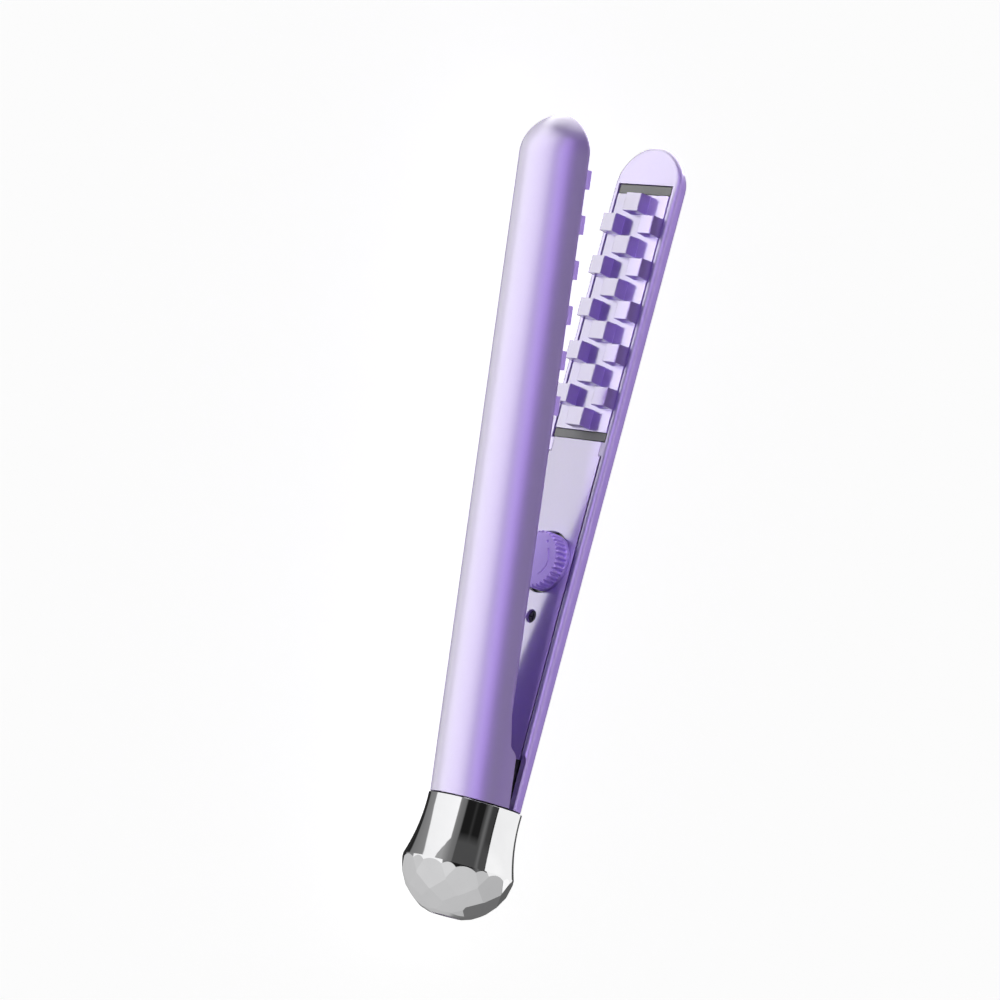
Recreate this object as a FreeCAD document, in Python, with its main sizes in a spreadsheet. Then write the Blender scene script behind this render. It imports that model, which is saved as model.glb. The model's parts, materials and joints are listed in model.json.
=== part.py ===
import FreeCAD, Part
import math
import os
import Sketcher

# Hair crimper: two half-round arms hinged in a bright faceted foot.
#
# The pieces are drawn in the tool's own closed pose:
#   Z  along the tool, 0 at the rim of the foot, tips at +Z
#   X  the way the arms open: arm A on +X (fixed to the foot), arm B on -X
#   Y  the hinge pin
# They are then laid down as the tool lies on a table: tool Z becomes row +Y,
# tool X stays row X, tool -Y becomes row +Z. Arm B is turned open about the pin.

V = FreeCAD.Vector
doc = FreeCAD.newDocument("hair_crimper")
sheet = doc.addObject("Spreadsheet::Sheet", "Dims")
VALUES = {}


class Q:
    """A length that knows both its number and how the sheet spells it."""

    def __init__(self, value, text):
        self.v = float(value)
        self.t = text

    def _pair(self, other):
        if isinstance(other, Q):
            return other
        return Q(other, "%.6g" % other if other >= 0 else "(%.6g)" % other)

    def __add__(self, o):
        o = self._pair(o)
        return Q(self.v + o.v, "(%s + %s)" % (self.t, o.t))

    def __radd__(self, o):
        return self._pair(o) + self

    def __sub__(self, o):
        o = self._pair(o)
        return Q(self.v - o.v, "(%s - %s)" % (self.t, o.t))

    def __rsub__(self, o):
        return self._pair(o) - self

    def __mul__(self, o):
        o = self._pair(o)
        return Q(self.v * o.v, "(%s * %s)" % (self.t, o.t))

    __rmul__ = __mul__

    def __truediv__(self, o):
        o = self._pair(o)
        return Q(self.v / o.v, "(%s / %s)" % (self.t, o.t))

    def __neg__(self):
        return Q(-self.v, "(0 - %s)" % self.t)


def num(x):
    return x.v if isinstance(x, Q) else float(x)


def dim(name, value, note):
    row = len(VALUES) + 2
    sheet.set("A%d" % row, name)
    sheet.set("B%d" % row, "%.6g" % value)
    sheet.set("C%d" % row, note)
    sheet.setAlias("B%d" % row, name)
    VALUES[name] = value
    return Q(value, "Dims.%s" % name)


sheet.set("A1", "name")
sheet.set("B1", "mm or degrees")
sheet.set("C1", "what it is")

# ---- driving dimensions -------------------------------------------------
tube_r = dim("tube_radius", 11.62, "outer radius of each arm's round back")
tube_off = dim("tube_offset", 0.79, "arm's circle centre lies past the mid-plane by this")
wall = dim("wall_thick", 2.0, "arm shell wall")
face = dim("face_x", 1.75, "inner face of each arm from the mid-plane, closed")
tip_c = dim("tip_centre", 156.8, "height where the tip starts to round")
tip_a = dim("tip_rise", 10.5, "height of the rounded tip")
foot_gap = dim("foot_gap", 0.45, "reveal between arm A and the rim")
open_deg = dim("open_angle", 9.8, "angle between the arms when let go")
piv_z = dim("pivot_z", -1.45, "hinge pin height, below the rim")
win_lo = dim("window_low", 92.0, "window bottom")
win_hi = dim("window_high", 157.0, "window top")
plate_lo = dim("plate_low", 94.4, "crimp plate bottom")
plate_len = dim("plate_length", 60.0, "crimp plate length")
plate_hw = dim("plate_half_width", 8.75, "crimp plate half width")
pitch = dim("row_pitch", 5.45, "spacing of the rows of teeth")
tooth_len = dim("tooth_length", 4.8, "tooth size along the tool")
tooth_h = dim("tooth_height", 3.2, "tooth height above the arm's face")
tooth_cw = dim("centre_tooth_half", 2.7, "half width of a middle tooth")
tooth_si = dim("side_tooth_inner", 4.15, "inner edge of a side tooth from the middle")
tooth_draft = dim("tooth_draft", 2.0, "draft of the tooth walls, degrees")
cover_lo = dim("cover_low", 12.6, "inner cover bottom")
cover_t = dim("cover_thick", 1.6, "inner cover thickness")
cover_hw = dim("cover_half_width", 9.18, "inner cover half width")
dial_z = dim("dial_height", 61.05, "dial centre height")
dial_r = dim("dial_radius", 7.1, "dial radius")
dial_top = dim("dial_proud", 3.4, "dial height above the inner face")
dial_hole = dim("dial_hole_radius", 7.75, "hole for the dial in the cover")
screw_z = dim("screw_height", 47.4, "cover screw height on arm A")
screw_zb = dim("screw_height_b", 30.0, "cover screw height on arm B")
screw_hole = dim("screw_hole_radius", 1.7, "countersink radius of a cover screw")
sw_z = dim("switch_recess_z", 10.9, "switch recess centre height")
sw_r = dim("switch_recess_r", 3.9, "switch recess end radius")
sw_s = dim("switch_recess_half", 1.43, "half the straight part of the recess")
sw_floor = dim("switch_floor_x", 8.5, "switch recess floor")
knob_r = dim("knob_radius", 3.35, "switch knob radius")
knob_z = dim("knob_height", 12.55, "switch knob centre height, switched off")
knob_go = dim("knob_travel", 3.3, "switch knob travel towards the foot")
rim_r = dim("rim_radius", 11.57, "foot radius at the rim")
cup_r = dim("cup_radius", 10.6, "inside radius of the foot")
dome_r = dim("dome_radius", 13.7, "foot radius at its widest")
dome_z = dim("dome_centre", -16.5, "height of the widest ring of the dome")
dome_a = dim("dome_depth", 11.3, "depth of the dome below its widest ring")
facets = dim("facet_count", 10, "facets in one ring of the dome")
gland_r = dim("cord_bore_radius", 2.6, "bore of the cord gland")
pin_r = dim("pin_radius", 1.5, "hinge pin radius")
pin_fit = dim("pin_clearance", 0.05, "radial clearance of arm B's lugs on the pin")
doc.recompute()

FACE_RI = math.sqrt((tube_r.v - wall.v) ** 2 - (face.v + tube_off.v) ** 2)


# ---- small drawing helpers ------------------------------------------------
def new_body(label):
    b = doc.addObject("PartDesign::Body", label)
    b.Label = label
    return b


def plane(body, role):
    for f in body.Origin.OriginFeatures:
        if f.Role == role:
            return f
    raise ValueError(role)


def new_sketch(body, role, off=None, turn=None):
    sk = body.newObject("Sketcher::SketchObject", "Sketch")
    sk.AttachmentSupport = [(plane(body, role), "")]
    sk.MapMode = "FlatFace"
    if off is not None:
        sk.AttachmentOffset = FreeCAD.Placement(V(0, 0, num(off)), FreeCAD.Rotation())
        if isinstance(off, Q):
            sk.setExpression("AttachmentOffset.Base.z", off.t)
    if turn is not None:
        sk.AttachmentOffset = FreeCAD.Placement(V(0, 0, 0), FreeCAD.Rotation(V(0, 1, 0), turn))
    return sk


def bind(sk, idx, q):
    if isinstance(q, Q):
        sk.setExpression("Constraints[%d]" % idx, q.t)


def at(sk, geo, pos, x, y):
    """Hold one point of the sketch at (x, y) from the sketch origin."""
    bind(sk, sk.addConstraint(Sketcher.Constraint("DistanceX", -1, 1, geo, pos, num(x))), x)
    bind(sk, sk.addConstraint(Sketcher.Constraint("DistanceY", -1, 1, geo, pos, num(y))), y)


def path(sk, pts, arcs=None):
    """Closed outline through pts; arcs maps a segment's index to
    (radius, centre x, centre y, counter-clockwise)."""
    arcs = arcs or {}
    n = len(pts)
    ends = []
    for i in range(n):
        ax, ay = num(pts[i][0]), num(pts[i][1])
        bx, by = num(pts[(i + 1) % n][0]), num(pts[(i + 1) % n][1])
        if i in arcs:
            r, cx, cy, ccw = arcs[i]
            cx, cy = num(cx), num(cy)
            a0 = math.atan2(ay - cy, ax - cx)
            a1 = math.atan2(by - cy, bx - cx)
            if not ccw:
                a0, a1 = a1, a0
            if a1 <= a0:
                a1 += 2 * math.pi
            g = sk.addGeometry(Part.ArcOfCircle(Part.Circle(V(cx, cy, 0), V(0, 0, 1), num(r)), a0, a1), False)
            ends.append((g, 1, 2) if ccw else (g, 2, 1))
        else:
            g = sk.addGeometry(Part.LineSegment(V(ax, ay, 0), V(bx, by, 0)), False)
            ends.append((g, 1, 2))
    for i in range(n):
        g, s, e = ends[i]
        g2, s2, e2 = ends[(i + 1) % n]
        sk.addConstraint(Sketcher.Constraint("Coincident", g, e, g2, s2))
    for i in range(n):
        g, s, e = ends[i]
        at(sk, g, s, pts[i][0], pts[i][1])
    for i in arcs:
        bind(sk, sk.addConstraint(Sketcher.Constraint("Radius", ends[i][0], num(arcs[i][0]))), arcs[i][0])
    return ends


def rect(sk, x0, y0, x1, y1):
    return path(sk, [(x0, y0), (x1, y0), (x1, y1), (x0, y1)])


def circle(sk, x, y, r):
    g = sk.addGeometry(Part.Circle(V(num(x), num(y), 0), V(0, 0, 1), num(r)), False)
    at(sk, g, 3, x, y)
    bind(sk, sk.addConstraint(Sketcher.Constraint("Radius", g, num(r))), r)
    return g


def slot(sk, x, y, half, r):
    """Racetrack standing along the sketch's y."""
    xs, ys, hs, rs = num(x), num(y), num(half), num(r)
    top = sk.addGeometry(Part.ArcOfCircle(Part.Circle(V(xs, ys + hs, 0), V(0, 0, 1), rs), 0, math.pi), False)
    low = sk.addGeometry(Part.ArcOfCircle(Part.Circle(V(xs, ys - hs, 0), V(0, 0, 1), rs), math.pi, 2 * math.pi),
                         False)
    left = sk.addGeometry(Part.LineSegment(V(xs - rs, ys + hs, 0), V(xs - rs, ys - hs, 0)), False)
    right = sk.addGeometry(Part.LineSegment(V(xs + rs, ys - hs, 0), V(xs + rs, ys + hs, 0)), False)
    for a, pa, b, pb in ((top, 2, left, 1), (left, 2, low, 1), (low, 2, right, 1), (right, 2, top, 1)):
        sk.addConstraint(Sketcher.Constraint("Coincident", a, pa, b, pb))
    at(sk, top, 3, x, y + half)
    at(sk, low, 3, x, y - half)
    for g, sgn in ((top, 1), (low, -1)):
        bind(sk, sk.addConstraint(Sketcher.Constraint("Radius", g, rs)), r)
        for pos in (1, 2):
            q = y + half if sgn > 0 else y - half
            bind(sk, sk.addConstraint(Sketcher.Constraint("DistanceY", -1, 1, g, pos, num(q))), q)


def axis_line(sk, x):
    """Construction line parallel to the sketch's y, used as a turning axis."""
    g = sk.addGeometry(Part.LineSegment(V(num(x), -5, 0), V(num(x), 5, 0)), True)
    at(sk, g, 1, x, -5.0)
    at(sk, g, 2, x, 5.0)
    return g


def pad(body, sk, length, reverse=False, both=False, taper=None):
    f = body.newObject("PartDesign::Pad", "Pad")
    f.Profile = sk
    f.Length = num(length)
    if isinstance(length, Q):
        f.setExpression("Length", length.t)
    if both:
        f.SideType = "Symmetric"
    f.Reversed = reverse
    if taper is not None:
        f.TaperAngle = num(taper)
        if isinstance(taper, Q):
            f.setExpression("TaperAngle", taper.t)
    sk.Visibility = False
    return f


def pocket(body, sk, length=None, reverse=False, both=False):
    doc.recompute()
    before = body.Tip.Shape.Volume
    f = body.newObject("PartDesign::Pocket", "Pocket")
    f.Profile = sk
    if length is None:
        f.Type = "ThroughAll"
    else:
        f.Type = "Length"
        f.Length = num(length)
        if isinstance(length, Q):
            f.setExpression("Length", length.t)
    if both:
        f.SideType = "Symmetric"
    f.Reversed = reverse
    doc.recompute()
    if not f.Shape.Volume < before - 1e-6:
        raise RuntimeError("a pocket of %s cut nothing" % body.Label)
    return f


def revolve(body, sk, cut=False):
    f = body.newObject("PartDesign::Groove" if cut else "PartDesign::Revolution", "Turn")
    f.Profile = sk
    f.ReferenceAxis = (sk, ["Axis0"])
    f.Angle = 360
    doc.recompute()
    return f


def polar(body, feats, n, axis="Z_Axis"):
    f = body.newObject("PartDesign::PolarPattern", "Around")
    f.Originals = feats
    f.Axis = (plane(body, axis), [""])
    f.Angle = 360
    f.Occurrences = int(num(n))
    if isinstance(n, Q):
        f.setExpression("Occurrences", n.t)
    body.Tip = f
    doc.recompute()
    return f


def row(body, feats, axis, step, n):
    f = body.newObject("PartDesign::LinearPattern", "Row")
    f.Originals = feats
    f.Direction = (plane(body, axis), [""])
    f.Mode = "Spacing"
    f.Offset = num(step)
    if isinstance(step, Q):
        f.setExpression("Offset", step.t)
    f.Occurrences = n
    body.Tip = f
    doc.recompute()
    return f


def mirror(body, feats, role):
    f = body.newObject("PartDesign::Mirrored", "Mirror")
    f.Originals = feats
    f.MirrorPlane = (plane(body, role), [""])
    body.Tip = f
    doc.recompute()
    return f


def soften(body, pick, size, chamfer=False):
    """Round or chamfer the edges that pick() accepts."""
    doc.recompute()
    tip = body.Tip
    names = []
    for i, e in enumerate(tip.Shape.Edges, 1):
        if pick(e):
            names.append("Edge%d" % i)
    if not names:
        raise RuntimeError("no edge to soften on " + body.Label)
    f = body.newObject("PartDesign::Chamfer" if chamfer else "PartDesign::Fillet", "Soft")
    f.Base = (tip, names)
    if chamfer:
        f.Size = size
    else:
        f.Radius = size
    doc.recompute()
    if f.Shape.isNull() or not f.Shape.isValid():
        raise RuntimeError("the softened edges of %s failed" % body.Label)
    return f


ROOT, ARM_B, DIAL, SWITCH = [], [], [], []


def keep(group, obj):
    group.append(obj)
    return obj


# ---- arm shells -------------------------------------------------------------
def arm_shell(label, side):
    """Half-round tube with a domed tip. side is +1 for arm A, -1 for arm B."""
    b = new_body(label)
    c = -side * tube_off                      # circle centre of this arm
    r, ri = tube_r, tube_r - wall
    # outer skin: a rod turned about the arm's own axis, domed at the tip
    sk = new_sketch(b, "XZ_Plane")
    axis_line(sk, c)
    low = foot_gap
    outline(sk, c, r, low, tip_c, tip_a)
    revolve(b, sk)
    # hollow: open at the foot, following the dome inside
    sk = new_sketch(b, "XZ_Plane")
    axis_line(sk, c)
    outline(sk, c, ri, low - 1, tip_c, tip_a - wall)
    revolve(b, sk, cut=True)
    return b, c


def outline(sk, c, r, z0, z1, rise):
    """Half profile of a domed rod, from the axis out to +x: the dome is a
    run of two tangent arcs close to a quarter ellipse."""
    # two-arc oval: a flank arc of radius f and a crown arc of radius k
    R, H = num(r), num(rise)
    f = 0.82 * H
    k = (R * R + H * H - 2 * f * R) / (2 * (H - f)) if abs(H - f) > 1e-9 else R
    # centres: flank (c + R - f, z1), crown (c, z1 + H - k)
    fx, fz = num(c) + R - f, num(z1)
    kz = num(z1) + H - k
    d = math.hypot(fx - num(c), fz - kz)
    ux, uz = (fx - num(c)) / d, (fz - kz) / d
    jx, jz = num(c) + k * ux, kz + k * uz
    path(sk, [(c, z0), (c + r, z0), (c + r, z1), (jx, jz), (c, z1 + rise)],
         {2: (f, fx, fz, True), 3: (k, num(c), kz, True)})


def side_cut(body, side, half, pts):
    """Remove what lies inside pts (x, z) on one half of the width only.
    half is +1 for y > 0, -1 for y < 0."""
    sk = new_sketch(body, "XZ_Plane")
    path(sk, pts)
    # the sketch looks along -Y, so a pocket runs towards +Y unless reversed
    return pocket(body, sk, 30.0, reverse=(half < 0))


def tip_face(body, side):
    """Flat wall that closes the arm's face above the window."""
    sk = new_sketch(body, "YZ_Plane", side * face)
    hw = 10.4
    top = tip_c + 9.2
    f = 7.6
    k = (hw * hw + 9.2 * 9.2 - 2 * f * hw) / (2 * (9.2 - f))
    fx, kz = hw - f, tip_c.v + 9.2 - k
    d = math.hypot(fx, tip_c.v - kz)
    jx, jz = k * fx / d, kz + k * (tip_c.v - kz) / d
    path(sk, [(-9.9, win_hi), (9.9, win_hi), (jx, jz), (0.0, top), (-jx, jz)],
         {2: (k, 0.0, kz, True), 3: (k, 0.0, kz, True)})
    return pad(body, sk, 1.8, reverse=(side < 0))


def boss(body, side, y, z, r, x0, x1):
    """Round post inside the arm, from x0 out to x1 (both positive)."""
    sk = new_sketch(body, "YZ_Plane", side * x0)
    circle(sk, y, z, r)
    return pad(body, sk, x1 - x0, reverse=(side < 0))


def pilot(body, side, y, z, r, x0, depth):
    sk = new_sketch(body, "YZ_Plane", side * x0)
    circle(sk, y, z, r)
    return pocket(body, sk, depth, reverse=(side > 0))


far = 16.0

# arm A: cut back a little on the -Y side below the shoulder, and its ear
# reaches over the mid-plane on the +Y side
arm_a, ca = arm_shell("arm_a_shell", 1)
side_cut(arm_a, 1, -1, [(-far, -2), (2.25, -2), (2.25, 12.2), (2.1, 13.1), (1.75, 13.9), (face, 14.6),
                        (face, 170), (-far, 170)])
side_cut(arm_a, 1, 1, [(-far, -2), (-0.25, -2), (-0.25, 12.4), (0.0, 13.2), (0.5, 13.9), (1.25, 14.6),
                       (1.65, 15.2), (face, 16.0), (face, 170), (-far, 170)])
tip_face(arm_a, 1)
doc.recompute()
soften(arm_a, lambda e: abs(e.BoundBox.XMin - face.v) < 0.02 and abs(e.BoundBox.XMax - face.v) < 0.02
       and e.BoundBox.ZMin > 15.5 and max(abs(e.BoundBox.YMin), abs(e.BoundBox.YMax)) > 10.9
       and e.Length > 3, 1.1)
# switch well: a racetrack cup let into the back of the arm
sk = new_sketch(arm_a, "YZ_Plane", sw_floor - 1.2)
slot(sk, Q(0, "0"), sw_z, sw_s, sw_r + 1.0)
pad(arm_a, sk, 2.2)
sk = new_sketch(arm_a, "YZ_Plane", 14.0)
slot(sk, Q(0, "0"), sw_z, sw_s, sw_r)
pocket(arm_a, sk, 14.0 - sw_floor)
sk = new_sketch(arm_a, "YZ_Plane", 14.0)
rect(sk, -1.3, 7.3, 1.3, 14.5)
pocket(arm_a, sk, 9.0)
# posts inside: cover screw, two for the board, two for the foot's posts
boss(arm_a, 1, 0.0, screw_z, 2.5, 4.3, 9.3)
boss(arm_a, 1, 0.0, 30.5, 1.9, 5.4, 9.3)
boss(arm_a, 1, 0.0, 75.0, 1.9, 5.4, 9.3)
for yy in (-5.4, 5.4):
    boss(arm_a, 1, yy, 20.5, 1.5, 5.8, 8.0)
pilot(arm_a, 1, 0.0, screw_z, 0.95, 3.0, 5.6)
pilot(arm_a, 1, 0.0, 30.5, 0.75, 5.0, 3.6)
pilot(arm_a, 1, 0.0, 75.0, 0.75, 5.0, 3.6)
for yy in (-5.4, 5.4):
    pilot(arm_a, 1, yy, 20.5, 0.75, 5.0, 2.4)
# two small tabs beside the cover's top corners
for y0, y1 in ((8.2, 9.9), (-9.9, -8.2)):
    sk = new_sketch(arm_a, "YZ_Plane", face)
    rect(sk, y0, 88.6, y1, win_lo - 0.1)
    pad(arm_a, sk, 1.3)
keep(ROOT, arm_a)

# arm B: its ear reaches over the mid-plane on the -Y side
arm_b, cb = arm_shell("arm_b_shell", -1)
side_cut(arm_b, -1, -1, [(far, -2), (0.3, -2), (0.3, 12.4), (0.05, 13.2), (-0.5, 13.9), (-1.25, 14.6),
                         (-1.65, 15.2), (-face, 16.0), (-face, 170), (far, 170)])
side_cut(arm_b, -1, 1, [(far, -2), (-1.2, -2), (-1.2, 12.0), (-1.3, 13.0), (-1.75, 13.9), (-face, 14.6),
                        (-face, 170), (far, 170)])
tip_face(arm_b, -1)
doc.recompute()
soften(arm_b, lambda e: abs(e.BoundBox.XMin + face.v) < 0.02 and abs(e.BoundBox.XMax + face.v) < 0.02
       and e.BoundBox.ZMin > 15.5 and max(abs(e.BoundBox.YMin), abs(e.BoundBox.YMax)) > 10.9
       and e.Length > 3, 1.1)
# lower edge sloped so that it stands just off the rim when the arms are open
sk = new_sketch(arm_b, "XZ_Plane")
path(sk, [(-14.0, -3.0), (2.0, -3.0), (2.0, 0.42), (0.5, 0.42), (-14.0, 2.78)])
pocket(arm_b, sk, 40.0, both=True)
boss(arm_b, -1, 0.0, screw_zb, 2.5, 4.3, 9.3)
for yy in (-5.0, 5.0):
    boss(arm_b, -1, yy, 20.5, 1.4, 5.8, 8.0)
sk = new_sketch(arm_b, "YZ_Plane", -3.0)
circle(sk, 0.0, screw_zb, 0.95)
pocket(arm_b, sk, 5.6)
for yy in (-5.0, 5.0):
    sk = new_sketch(arm_b, "YZ_Plane", -5.0)
    circle(sk, yy, 20.5, 0.75)
    pocket(arm_b, sk, 2.4)
for y0, y1 in ((8.2, 9.9), (-9.9, -8.2)):
    sk = new_sketch(arm_b, "YZ_Plane", -face)
    rect(sk, y0, 88.6, y1, win_lo - 0.1)
    pad(arm_b, sk, 1.3, reverse=True)
keep(ARM_B, arm_b)


# ---- pieces that both arms have --------------------------------------------
def band(body, side, x0, x1, hw, r, z0, length):
    """Bar that fills the arm's mouth: from x0 to x1, half width hw at x0, its
    flanks following radius r about the arm's axis."""
    c = -num(tube_off)
    hw0 = math.sqrt(num(r) ** 2 - (num(x0) - c) ** 2)
    hw1 = math.sqrt(num(r) ** 2 - (num(x1) - c) ** 2)
    sk = new_sketch(body, "XY_Plane", z0)
    cx = -side * num(tube_off)
    if side > 0:
        path(sk, [(num(x0), -hw0), (num(x1), -hw1), (num(x1), hw1), (num(x0), hw0)],
             {0: (r, cx, 0.0, True), 2: (r, cx, 0.0, True)})
    else:
        path(sk, [(-num(x0), -hw0), (-num(x1), -hw1), (-num(x1), hw1), (-num(x0), hw0)],
             {0: (r, cx, 0.0, False), 2: (r, cx, 0.0, False)})
    return pad(body, sk, length)


def yz_cut(body, side, x0, depth, draw, outward=True):
    """Pocket from the plane |x| = x0 into the arm."""
    sk = new_sketch(body, "YZ_Plane", side * x0)
    draw(sk)
    return pocket(body, sk, depth, reverse=(side > 0))


def crimp_plate(label, side, odd_centre):
    b = new_body(label)
    # front flange, then a narrower back that drops into the frame
    sk = new_sketch(b, "YZ_Plane", side * (face + 0.05))
    rect(sk, -plate_hw, plate_lo, plate_hw, plate_lo + plate_len)
    pad(b, sk, 0.8, reverse=(side < 0))
    sk = new_sketch(b, "YZ_Plane", side * (face + 0.7))
    rect(sk, -7.2, plate_lo + 1.4, 7.2, plate_lo + plate_len - 1.4)
    pad(b, sk, 1.1, reverse=(side < 0))
    z_first = plate_lo + plate_len / 2 - pitch * 5 - tooth_len / 2
    h = tooth_h + 0.05

    def tooth(y0, y1, z0):
        s = new_sketch(b, "YZ_Plane", side * (face + 0.05))
        rect(s, y0, z0, y1, z0 + tooth_len)
        return pad(b, s, h, reverse=(side > 0), taper=-tooth_draft)

    zc = z_first if odd_centre else z_first + pitch
    zs = z_first + pitch if odd_centre else z_first
    nc, ns = (6, 5) if odd_centre else (5, 6)
    p1 = tooth(-tooth_cw, tooth_cw, zc)
    row(b, [p1], "Z_Axis", pitch * 2, nc)
    p2 = tooth(tooth_si, plate_hw, zs)
    row(b, [p2], "Z_Axis", pitch * 2, ns)
    p3 = tooth(-plate_hw, -tooth_si, zs)
    row(b, [p3], "Z_Axis", pitch * 2, ns)
    top = side * (face.v + 0.05 - h.v)
    soften(b, lambda e: abs(e.BoundBox.XMin - top) < 0.01 and abs(e.BoundBox.XMax - top) < 0.01, 0.22)
    return b


def heater_frame(label, side):
    b = new_body(label)
    band(b, side, face + 0.25, 4.4, cover_hw, 9.22, win_lo + 0.22, win_hi - win_lo - 0.44)
    yz_cut(b, side, face - 1.0, 1.9, lambda s: rect(s, -plate_hw - 0.18, plate_lo - 0.18,
                                                   plate_hw + 0.18, plate_lo + plate_len + 0.18))
    yz_cut(b, side, face - 1.0, 6.0, lambda s: rect(s, -7.3, plate_lo + 1.3, 7.3, plate_lo + plate_len - 1.3))
    return b


def heater_set(tag, side):
    out = []
    b = new_body("arm_%s_ptc_heater" % tag)
    sk = new_sketch(b, "YZ_Plane", side * 3.65)
    rect(sk, -6.0, 97.5, 6.0, 151.5)
    pad(b, sk, 1.6, reverse=(side < 0))
    out.append(b)
    b = new_body("arm_%s_insulator" % tag)
    sk = new_sketch(b, "YZ_Plane", side * 5.3)
    rect(sk, -6.1, 96.5, 6.1, 152.5)
    pad(b, sk, 0.9, reverse=(side < 0))
    out.append(b)
    # curved blade spring that holds the heater against its plate
    b = new_body("arm_%s_clamp_spring" % tag)
    sk = new_sketch(b, "XZ_Plane")
    s = side
    path(sk, [(s * 6.25, 100.0), (s * 6.25, 108.0), (s * 7.9, 118.0), (s * 7.9, 130.0), (s * 6.25, 140.0),
              (s * 6.25, 148.0), (s * 6.65, 148.0), (s * 6.65, 140.2), (s * 8.3, 130.2), (s * 8.3, 117.8),
              (s * 6.65, 107.8), (s * 6.65, 100.0)])
    pad(b, sk, 4.0, both=True)
    out.append(b)
    b = new_body("arm_%s_thermal_fuse" % tag)
    sk = new_sketch(b, "XY_Plane", 110.0)
    circle(sk, s * 7.0, 3.6, 0.75)
    pad(b, sk, 8.0)
    out.append(b)
    # two leads from the heater down to the board or the hinge
    b = new_body("arm_%s_heater_leads" % tag)
    for yy in (-3.1, 3.1):
        low = 78.0 if side > 0 else 5.0
        sk = new_sketch(b, "XY_Plane", low)
        circle(sk, s * (5.86 if side > 0 else 6.3), yy, 0.42)
        pad(b, sk, 96.3 - low)
    out.append(b)
    return out


def inner_cover(label, side, with_dial):
    b = new_body(label)
    band(b, side, face, face + cover_t, cover_hw, 9.17, cover_lo, win_lo - cover_lo)
    for y0, y1 in ((8.1, 12.0), (-12.0, -8.1)):
        yz_cut(b, side, face - 1.0, 6.0, lambda s, a=y0, c=y1: rect(s, a, 88.4, c, 95.0))
    zs = screw_z if side > 0 else screw_zb
    if with_dial:
        yz_cut(b, side, face - 1.0, 6.0, lambda s: circle(s, 0.0, dial_z, dial_hole))
    # small boss behind the cover lets the screw's head sit below the face
    sk = new_sketch(b, "YZ_Plane", side * (face + cover_t - 0.3))
    circle(sk, 0.0, zs, 2.9)
    pad(b, sk, 1.2, reverse=(side < 0))
    yz_cut(b, side, face - 1.0, 2.5, lambda s: circle(s, 0.0, zs, screw_hole))
    yz_cut(b, side, face - 1.0, 6.0, lambda s: circle(s, 0.0, zs, 1.1))
    return b


def screws(label, side, spots, head_r, head_t, shank_r, shank, cross=True):
    """Round-headed screws, heads towards the mid-plane, with a cross slot."""
    b = new_body(label)
    for i, (y, z, x) in enumerate(spots):
        sk = new_sketch(b, "YZ_Plane", side * x)
        circle(sk, y, z, head_r)
        pad(b, sk, head_t, reverse=(side < 0))
        sk = new_sketch(b, "YZ_Plane", side * (x + head_t - 0.01))
        circle(sk, y, z, shank_r)
        pad(b, sk, shank, reverse=(side < 0))
        sk = new_sketch(b, "YZ_Plane", side * x)
        w, l = 0.18, head_r * 0.62
        path(sk, [(y - w, z - l), (y + w, z - l), (y + w, z - w), (y + l, z - w), (y + l, z + w), (y + w, z + w),
                  (y + w, z + l), (y - w, z + l), (y - w, z + w), (y - l, z + w), (y - l, z - w), (y - w, z - w)])
        pocket(b, sk, head_t * 0.5, reverse=(side > 0))
    return b


keep(ROOT, crimp_plate("arm_a_crimp_plate", 1, True))
keep(ARM_B, crimp_plate("arm_b_crimp_plate", -1, False))
keep(ROOT, heater_frame("arm_a_heater_frame", 1))
keep(ARM_B, heater_frame("arm_b_heater_frame", -1))
for o in heater_set("a", 1):
    keep(ROOT, o)
for o in heater_set("b", -1):
    keep(ARM_B, o)
cover_a = inner_cover("arm_a_inner_cover", 1, True)
keep(ROOT, cover_a)
# arm B's cover has a shallow round pan that the dial closes into
cover_b = inner_cover("arm_b_inner_cover", -1, False)
sk = new_sketch(cover_b, "YZ_Plane", -face - 1.3)
circle(sk, 0.0, dial_z, dial_hole - 0.25)
pad(cover_b, sk, 0.9, reverse=True)
yz_cut(cover_b, -1, face - 1.0, 2.25, lambda s: circle(s, 0.0, dial_z, dial_hole))
keep(ARM_B, cover_b)
keep(ROOT, screws("arm_a_cover_screw", 1, [(0.0, 47.4, 2.45)], 1.45, 0.78, 0.9, 4.6))
keep(ARM_B, screws("arm_b_cover_screw", -1, [(0.0, 30.0, 2.45)], 1.45, 0.78, 0.9, 4.6))

# ---- foot -------------------------------------------------------------------
foot = new_body("chrome_base")
sk = new_sketch(foot, "XZ_Plane")
axis_line(sk, 0.0)
# concave flare from the rim, widest ring, then a dome cut flat at the bottom

def bow(p, q, r_):
    """Radius, centre and sense of the arc from p to r_ that passes q."""
    ax, ay, bx, by, cx, cy = p[0], p[1], q[0], q[1], r_[0], r_[1]
    d = 2 * (ax * (by - cy) + bx * (cy - ay) + cx * (ay - by))
    ux = ((ax * ax + ay * ay) * (by - cy) + (bx * bx + by * by) * (cy - ay) + (cx * cx + cy * cy) * (ay - by)) / d
    uy = ((ax * ax + ay * ay) * (cx - bx) + (bx * bx + by * by) * (ax - cx) + (cx * cx + cy * cy) * (bx - ax)) / d
    ccw = (bx - ax) * (cy - ay) - (by - ay) * (cx - ax) > 0
    return (math.hypot(ax - ux, ay - uy), ux, uy, ccw)


path(sk, [(0.0, -27.75), (0.0, 0.0), (rim_r, 0.0), (dome_r, -15.6), (dome_r, dome_z - 1.0), (7.2, -26.75),
          (4.1, -27.75)],
     {2: bow((11.57, 0.0), (11.98, -8.2), (13.7, -15.6)),
      4: bow((13.7, -17.5), (11.55, -23.35), (7.2, -26.75))})
revolve(foot, sk)
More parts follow.
